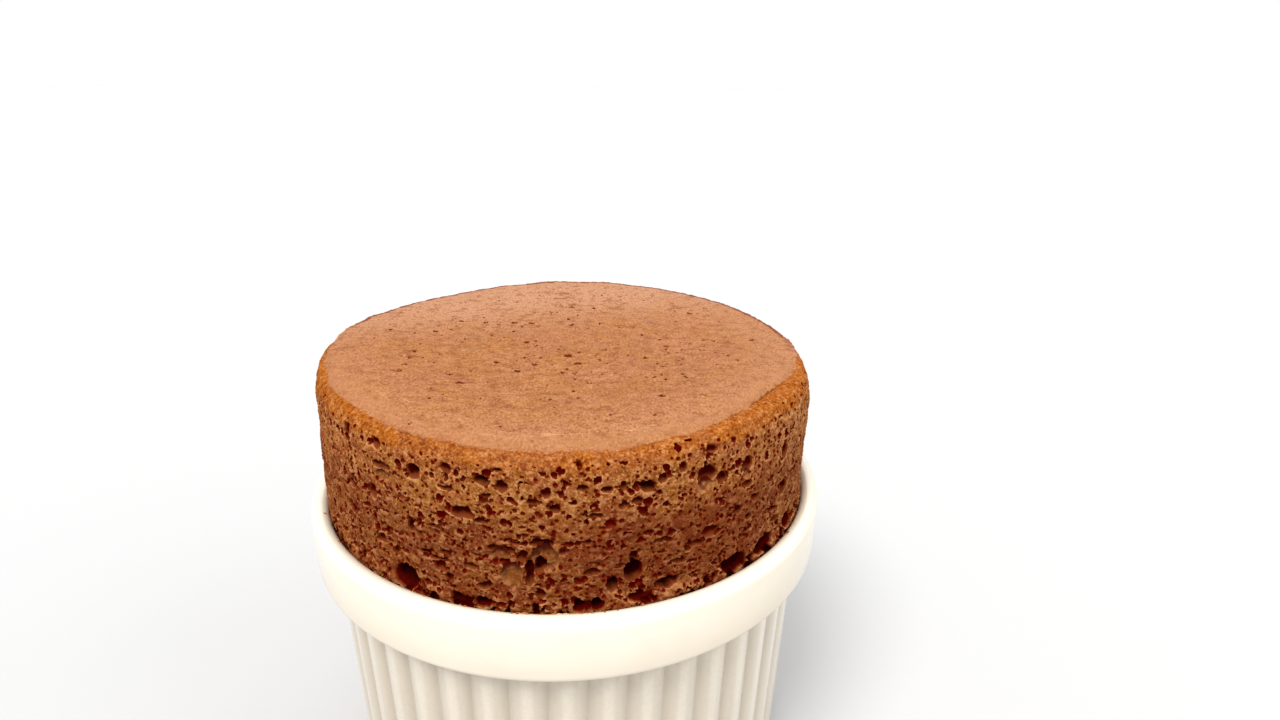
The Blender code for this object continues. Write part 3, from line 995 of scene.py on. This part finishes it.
def skin_pinholes(graph, flat_place, families):
    """Depth, from 0 to 1, of round pits, most of them in the middle."""
    crowd = graph.smooth(graph.noise(flat_place, 13.0, detail=1.0), 0.34, 0.58)
    x, y, _ = graph.split(flat_place)
    crowd = crowd * graph.smooth(from_axis(graph, x, y), 35.0, 24.0)
    holes = 0.0
    for size, least, greatest, share, shift in families:
        shifted = graph.vector("ADD", graph.warped(flat_place, 0.8, 1.1), (shift, shift, 0.0))
        distance, chances, _ = graph.cells(shifted, size, "2D")
        chance, luck, _ = graph.split(chances)
        radius = luck * luck * (greatest - least) + least
        there = graph.math("LESS_THAN", chance, share * crowd + 0.01)
        holes = graph.highest(holes, graph.smooth(distance * size, radius, radius * 0.5) * there)
    return holes


def skin_streaks(graph, flat_place):
    """Long shallow wrinkles that run from side to side in some places, from 0 to 1."""
    drawn_out = graph.vector("MULTIPLY", graph.warped(flat_place, 6.0, 5.0), (0.26, 1.0, 1.0))
    here_and_there = graph.smooth(graph.noise(flat_place, 9.0, detail=1.0), 0.66, 0.36) * 1.1 + 0.2
    return (graph.noise(drawn_out, 1.5, detail=4.0, roughness=0.68) - 0.5) * here_and_there + 0.5


def margin_wrinkles(graph, x, y, radius, full):
    """Fine wrinkles that follow the edge, just inside the smooth margin, from 0 to 1."""
    round_place = graph.join(x / radius * 9.0, y / radius * 9.0, radius * 1.6)
    wrinkles = graph.noise(graph.warped(round_place, 4.0, 2.4), 1.3, detail=3.0, roughness=0.6)
    near_margin = graph.smooth(graph.math("ABSOLUTE", radius - (full - 4.6)), 3.0, 0.8)
    here_and_there = graph.smooth(graph.noise(round_place, 4.0, detail=1.0), 0.46, 0.66)
    at_front = graph.smooth(y / radius, -0.5, -0.85)
    return graph.smooth(wrinkles, 0.53, 0.66) * near_margin * here_and_there * at_front


def raise_the_skin(food):
    """Builds the node tree that gives the flat sheet its ring, dimple, wrinkles and wavering edge."""
    edge, full = edge_height(food), food.skin_radius / MM
    ring, rise, dimple = food.ring_radius / MM, food.ring_rise / MM, food.dimple_depth / MM

    def build(graph, shape):
        place = place_in_mm(graph)
        x, y, z = graph.split(place)
        radius = graph.math("SQRT", x * x + y * y + 0.0001)
        outward = radius / full
        flat_place = graph.join(x, y, 0.0)
        crown = graph.smooth(radius, 10.0, ring) * dimple - dimple
        crown = crown + rise - graph.smooth(radius, ring - 1.0, full) * rise
        margin = graph.smooth(radius, full - 3.5, full - 1.5)
        creases = margin_wrinkles(graph, x, y, radius, full) * 0.16
        peel = graph.noise(flat_place, 1.1, detail=3.0, roughness=0.65) * 0.44 - 0.22
        streaks = skin_streaks(graph, flat_place) * 0.5 - 0.25
        billow = graph.noise(flat_place, 7.0, detail=2.0) * 0.9 - 0.45
        top = graph.smooth(z, edge - 0.6, edge - 0.1)
        relief = crown + billow * 0.55 + (peel + streaks) * (1.0 - margin * 0.4) + creases
        relief = (relief - skin_pinholes(graph, flat_place, PINHOLES) * 0.3) * top
        tucked = graph.smooth(radius, full - 1.4, full - 0.2) * graph.smooth(y / radius, 0.2, -0.2)
        tucked = tucked * (graph.noise(flat_place, 1.3, detail=3.0, roughness=0.6) * 0.9 - 0.15)
        lean = lean_of(graph, x, y, radius / (food.crumb_radius / MM))
        waver = graph.noise(flat_place, 8.0, detail=2.0) * 1.8 - 1.1
        waver = waver + graph.noise(flat_place, 1.2, detail=3.0, roughness=0.65) * 1.3 - 0.65
        angle = angle_round(graph, x, y)
        drawn_in = graph.math("EXPONENT", (angle + 0.6) * (angle + 0.6) * -8.0) * -2.1
        drawn_out = graph.smooth(y / radius, -0.35, 0.1) * 0.55
        move = (waver + drawn_in + drawn_out) * outward ** 8.0 / radius
        lift = graph.lowest(relief + lean - tucked, HIGHEST_RISE)
        push = graph.join(x * move * MM, y * move * MM, lift * MM)
        shape = keep(graph, shape, "place", place, "FLOAT_VECTOR")
        return graph.add("GeometryNodeSetPosition", sockets={"Geometry": shape, "Offset": push})

    return build


def satin_skin(food):
    """Dry satin skin: milky brown with long streaks, paler at its edge, with grain and dark pinholes
    whose darkness is painted shade, a painted sheen towards the back and painted glints on its wrinkles.
    """
    full = food.skin_radius / MM
    material, graph, shader = new_material("satin_skin")
    x, y, _ = graph.split(attribute(graph, "place", "Vector"))
    radius, flat_place = from_axis(graph, x, y), graph.join(x, y, 0.0)
    clouds = graph.noise(flat_place, 8.0, detail=3.0, roughness=0.6)
    golden = graph.noise(graph.vector("ADD", flat_place, (30.0, 0.0, 0.0)), 11.0, detail=2.0)
    mottle = graph.noise(flat_place, 1.8, detail=4.0, roughness=0.65)
    grain = graph.vector("MULTIPLY", flat_place, (1.0, 0.6, 1.0))
    grain = graph.noise(grain, 0.36, detail=2.0, roughness=0.7)
    torn = graph.noise(flat_place, 1.6, detail=3.0, roughness=0.6)
    streaks = skin_streaks(graph, flat_place)
    creases = margin_wrinkles(graph, x, y, radius, full)
    smudges = skin_pinholes(graph, flat_place, SMUDGES)
    holes = skin_pinholes(graph, flat_place, PINHOLES)
    margin = graph.smooth(radius + clouds * 2.0, full - 3.4, full - 1.8)
    margin = margin * graph.smooth(y / radius, -0.1, -0.5)
    ring = graph.smooth(radius + clouds * 10.0 + graph.highest(y, 0.0) * 0.35, 31.0, 43.0)
    # Painted sheen towards the back, where the skin is seen at a grazing angle
    far = graph.smooth(y - x * 0.35 + clouds * 16.0, 12.0, 40.0)
    rim = graph.smooth(radius + torn * 2.0, full + 0.6, full + 1.1) * graph.smooth(y / radius, 0.0, -0.3)
    far_rim = graph.smooth(radius + torn * 1.2, full - 0.6, full - 0.1) * graph.smooth(y, 0.0, 12.0)
    tone = graph.layered(
        food.skin,
        (graph.smooth(golden, 0.40, 0.60) * 0.9, food.skin_gold),
        (graph.smooth(clouds, 0.36, 0.62) * 0.3, food.skin_deep),
        (ring * 0.5, food.skin_pale),
        (far, food.skin_back_sheen),
        (graph.smooth(streaks, 0.47, 0.33) * (0.7 - margin * 0.3), food.skin_deep),
        (graph.smooth(streaks, 0.53, 0.66) * 0.5, food.skin_pale),
        (graph.smooth(mottle, 0.50, 0.34) * (0.6 - margin * 0.3), food.skin_deep),
        (graph.smooth(mottle, 0.51, 0.66) * 0.6, food.skin_pale),
        (graph.smooth(grain, 0.50, 0.34) * (0.7 - margin * 0.3), food.skin_deep),
        (graph.smooth(grain, 0.52, 0.68) * 0.55, food.browned_fleck_and_highlight),
        (creases * 0.65, food.skin_glint),
        (rim * 0.85, food.browned),
        (far_rim * 0.9, food.browned_dark_and_shade),
        (smudges * 0.6, food.skin_deep),
        # Painted shade inside the pinholes
        (graph.smooth(holes, 0.0, 0.55), food.pinhole_shade),
    )
    relief = grain * 0.4 + mottle * 0.5 + streaks * 0.5 - holes
    bump = graph.add("ShaderNodeBump", sockets={"Strength": 0.5, "Distance": 0.0003, "Height": relief})
    shader_inputs(graph, shader, {
        "Base Color": tone,
        "Roughness": 0.42 + clouds * 0.2,
        "Normal": bump,
        "Specular IOR Level": 0.0,
        "Coat Weight": (1.0 - holes) * 0.3,
        "Coat Roughness": 0.42,
    })
    return material


class SOUFFLE_OT_skin(bpy.types.Operator):
    """Model the baked skin on top"""

    bl_idname = "souffle.skin"
    bl_label = "Skin"

    def execute(self, context):
        food = context.scene.souffle_settings
        piece = skin_sheet(food)
        run_nodes([piece], "raise_the_skin", raise_the_skin(food))
        finish(piece, satin_skin(food), 60.0, replaces="souffle")
        return {"FINISHED"}


# ----------------------------------------------------------------------
# What lies on the rim
# ----------------------------------------------------------------------

# Crumbs on the lip: (where their middle is in degrees, spread in degrees, how many)
CRUMB_CLUSTERS = ((-94.0, 1.8, 10), (-109.0, 5.0, 5), (-78.0, 7.0, 6), (90.0, 170.0, 22))
CRUMB_SIZES = (0.10, 0.28)  # radius, in millimetres
CRUMB_SEED = 7
BATTER_LINE = (-92.0, -81.0)  # from and to, in degrees
BATTER_INWARD = 0.55  # from the lip's highest line, in millimetres
BATTER_TIP = 0.01  # radius at the ends, in millimetres
BATTER_STEPS = 44
BATTER_SEED = 11


def lip_point(dish, angle, inward):
    """A point on the lip's round top, at an angle and so far in from its highest line, in metres."""
    lip = dish.lip_rounding
    middle = dish.rim_radius - lip
    height = dish.rim_height - lip + math.sqrt(max(lip * lip - inward * inward, 0.0))
    radius = middle - inward
    return Vector((radius * math.cos(angle), radius * math.sin(angle), height))


class SOUFFLE_OT_loose_crumbs(bpy.types.Operator):
    """Scatter tiny crumbs along the inside of the lip"""

    bl_idname = "souffle.loose_crumbs"
    bl_label = "Loose crumbs"

    def execute(self, context):
        dish = context.scene.ramekin_settings
        food = context.scene.souffle_settings
        luck = random.Random(CRUMB_SEED)
        pieces = []
        for middle, spread, count in CRUMB_CLUSTERS:
            for _ in range(count):
                angle = math.radians(middle + luck.uniform(-spread, spread))
                place = lip_point(dish, angle, luck.uniform(0.45, 0.85) * MM)
                pieces.append(self.crumb(place, luck))
        bpy.ops.object.select_all(action="DESELECT")
        for piece in pieces:
            piece.select_set(True)
        bpy.context.view_layer.objects.active = pieces[0]
        bpy.ops.object.join()
        piece = bpy.context.object
        piece.name = piece.data.name = "loose_crumbs"
        with editing():
            face_outwards()
        finish(piece, dried_crumb(food, "loose_crumb", food.crumb_light), 40.0)
        return {"FINISHED"}

    def crumb(self, place, luck):
        """One ragged grain: a small ball, squeezed and roughened, with its place kept in its mesh."""
        bpy.ops.object.select_all(action="DESELECT")
        size = luck.uniform(*CRUMB_SIZES) * MM
        bpy.ops.mesh.primitive_ico_sphere_add(subdivisions=2, radius=size)
        with editing():
            bpy.ops.mesh.select_all(action="SELECT")
            squeeze = (luck.uniform(0.8, 1.6), luck.uniform(0.8, 1.4), luck.uniform(0.6, 0.9))
            bpy.ops.transform.resize(value=squeeze)
            bpy.ops.transform.vertex_random(offset=0.3 * size, uniform=1.0, seed=luck.randint(0, 9999))
            bpy.ops.transform.translate(value=place)
        return bpy.context.object


class SOUFFLE_OT_batter_line(bpy.types.Operator):
    """Lay the thin line of dried batter along the inside of the lip"""

    bl_idname = "souffle.batter_line"
    bl_label = "Batter line"

    def execute(self, context):
        dish = context.scene.ramekin_settings
        food = context.scene.souffle_settings
        luck = random.Random(BATTER_SEED)
        start, end = (math.radians(angle) for angle in BATTER_LINE)
        place, width = lip_point(dish, start, BATTER_INWARD * MM), BATTER_TIP
        bpy.ops.object.select_all(action="DESELECT")
        bpy.ops.mesh.primitive_circle_add(
            vertices=8, radius=BATTER_TIP * MM, fill_type="NOTHING", location=place,
            rotation=(math.pi / 2.0, 0.0, start + math.pi / 2.0),
        )
        piece = bpy.context.object
        piece.name = piece.data.name = "batter_line"
        bpy.ops.object.transform_apply(location=True, rotation=True, scale=True)
        with editing():
            bpy.ops.mesh.select_all(action="SELECT")
            for step in range(1, BATTER_STEPS + 1):
                along = step / BATTER_STEPS
                angle = start + (end - start) * along
                inward = BATTER_INWARD + 0.12 * math.sin(angle * 45.0) + luck.uniform(-0.03, 0.03)
                new_place = lip_point(dish, angle, inward * MM)
                new_width = 0.03 + 0.14 * math.sin(math.pi * along) * luck.uniform(0.6, 1.3)
                if step == BATTER_STEPS:
                    new_width = BATTER_TIP
                bpy.ops.mesh.extrude_region_move(TRANSFORM_OT_translate={"value": new_place - place})
                widen = new_width / width
                bpy.ops.transform.resize(value=(widen, widen, widen), center_override=new_place)
                place, width = new_place, new_width
            bpy.ops.mesh.select_all(action="SELECT")
            bpy.ops.mesh.fill_holes(sides=8)
            bpy.ops.mesh.normals_make_consistent(inside=False)
        finish(piece, dried_crumb(food, "dried_batter", food.dried_batter), 60.0)
        return {"FINISHED"}


def dried_crumb(food, name, dark):
    """Dry crumb or batter: pale and darker by the grain."""
    material, graph, shader = new_material(name)
    place = surface_place(graph)
    grain = graph.noise(place, 0.35, detail=2.0)
    clump = graph.noise(place, 1.4, detail=1.0)
    tone = graph.layered(
        food.browned_fleck_and_highlight,
        (graph.smooth(clump, 0.42, 0.60), dark),
        (graph.smooth(grain, 0.50, 0.35) * 0.6, food.moist_and_shaded_crumb),
    )
    bump = graph.add("ShaderNodeBump", sockets={"Strength": 0.5, "Distance": 0.0001, "Height": grain})
    shader_inputs(graph, shader, {
        "Base Color": tone,
        "Roughness": 0.7 + grain * 0.2,
        "Normal": bump,
        "Specular IOR Level": 0.1,
    })
    return material


# ----------------------------------------------------------------------
# Studio
# ----------------------------------------------------------------------


def add_sun(name, place, softness_deg, strength, tone):
    """A distant, soft light that shines from a place towards the origin."""
    bpy.ops.object.light_add(type="SUN", location=place)
    light = bpy.context.object
    light.name = light.data.name = name
    light.data.angle = math.radians(softness_deg)
    light.data.energy = strength
    light.data.color = tone
    light.rotation_euler = Vector(place).to_track_quat("Z", "Y").to_euler()


class SOUFFLE_OT_studio(bpy.types.Operator):
    """Set up the pale floor, the soft lights and the camera"""

    bl_idname = "souffle.studio"
    bl_label = "Studio"

    def execute(self, context):
        studio = context.scene.studio_settings
        bpy.ops.object.select_all(action="DESELECT")
        bpy.ops.mesh.primitive_circle_add(vertices=96, radius=studio.floor_radius, fill_type="NGON")
        floor = context.object
        floor.name = floor.data.name = "floor"
        material, graph, shader = new_material("pale_floor")
        floor_finish = {"Base Color": studio.floor, "Roughness": 0.9, "Specular IOR Level": 0.1}
        shader_inputs(graph, shader, floor_finish)
        floor.data.materials.append(material)
        add_sun("key_light", (-0.35, -0.55, 1.1), 25.0, studio.key_strength, (1.0, 0.98, 0.95))
        add_sun("back_light", (0.3, 0.7, 0.75), 60.0, studio.back_strength, (1.0, 1.0, 1.0))
        add_sun("fill_light", (0.9, -0.15, 0.55), 50.0, studio.fill_strength, (1.0, 1.0, 1.0))
        world = bpy.data.worlds.new("studio_sky")
        context.scene.world = world
        world.use_nodes = True
        background = world.node_tree.nodes["Background"]
        background.inputs["Color"].default_value = (1.0, 1.0, 1.0, 1.0)
        background.inputs["Strength"].default_value = studio.sky_strength
        context.scene.view_settings.view_transform = "Standard"
        self.place_camera(context, studio)
        return {"FINISHED"}

    def place_camera(self, context, studio):
        """Puts the camera in front of the dish, looking down at it."""
        height = RIM_HEIGHT + studio.camera_above
        bpy.ops.object.camera_add(location=(studio.camera_right, -studio.camera_away, height))
        camera = context.object
        camera.name = camera.data.name = "camera"
        down = Matrix.Rotation(math.radians(90.0) - studio.camera_tilt, 3, "X")
        camera.rotation_euler = (down @ Matrix.Rotation(studio.camera_roll, 3, "Z")).to_euler()
        camera.data.lens = studio.lens
        camera.data.clip_start = 0.001
        context.scene.camera = camera


# ----------------------------------------------------------------------
# Panel and registration
# ----------------------------------------------------------------------


class SOUFFLE_PT_panel(bpy.types.Panel):
    """Lists the pieces of the souffle in the order they are made"""

    bl_label = "Chocolate souffle"
    bl_idname = "SOUFFLE_PT_panel"
    bl_space_type = "VIEW_3D"
    bl_region_type = "UI"
    bl_category = "Souffle"

    def draw(self, context):
        for operator in OPERATORS:
            self.layout.operator(operator.bl_idname)


OPERATORS = (
    SOUFFLE_OT_ramekin,
    SOUFFLE_OT_crumb,
    SOUFFLE_OT_skin,
    SOUFFLE_OT_loose_crumbs,
    SOUFFLE_OT_batter_line,
    SOUFFLE_OT_studio,
)
SETTINGS = {
    "ramekin_settings": RamekinSettings,
    "souffle_settings": SouffleSettings,
    "studio_settings": StudioSettings,
}


def register():
    for cls in (*SETTINGS.values(), *OPERATORS, SOUFFLE_PT_panel):
        bpy.utils.register_class(cls)
    for name, cls in SETTINGS.items():
        setattr(bpy.types.Scene, name, PointerProperty(type=cls))


def unregister():
    for name in SETTINGS:
        delattr(bpy.types.Scene, name)
    for cls in reversed((*SETTINGS.values(), *OPERATORS, SOUFFLE_PT_panel)):
        bpy.utils.unregister_class(cls)


def main():
    """Makes every piece and the studio."""
    register()
    bpy.ops.souffle.ramekin()
    bpy.ops.souffle.crumb()
    bpy.ops.souffle.skin()
    bpy.ops.souffle.loose_crumbs()
    bpy.ops.souffle.batter_line()
    bpy.ops.souffle.studio()


if __name__ == "__main__":
    main()
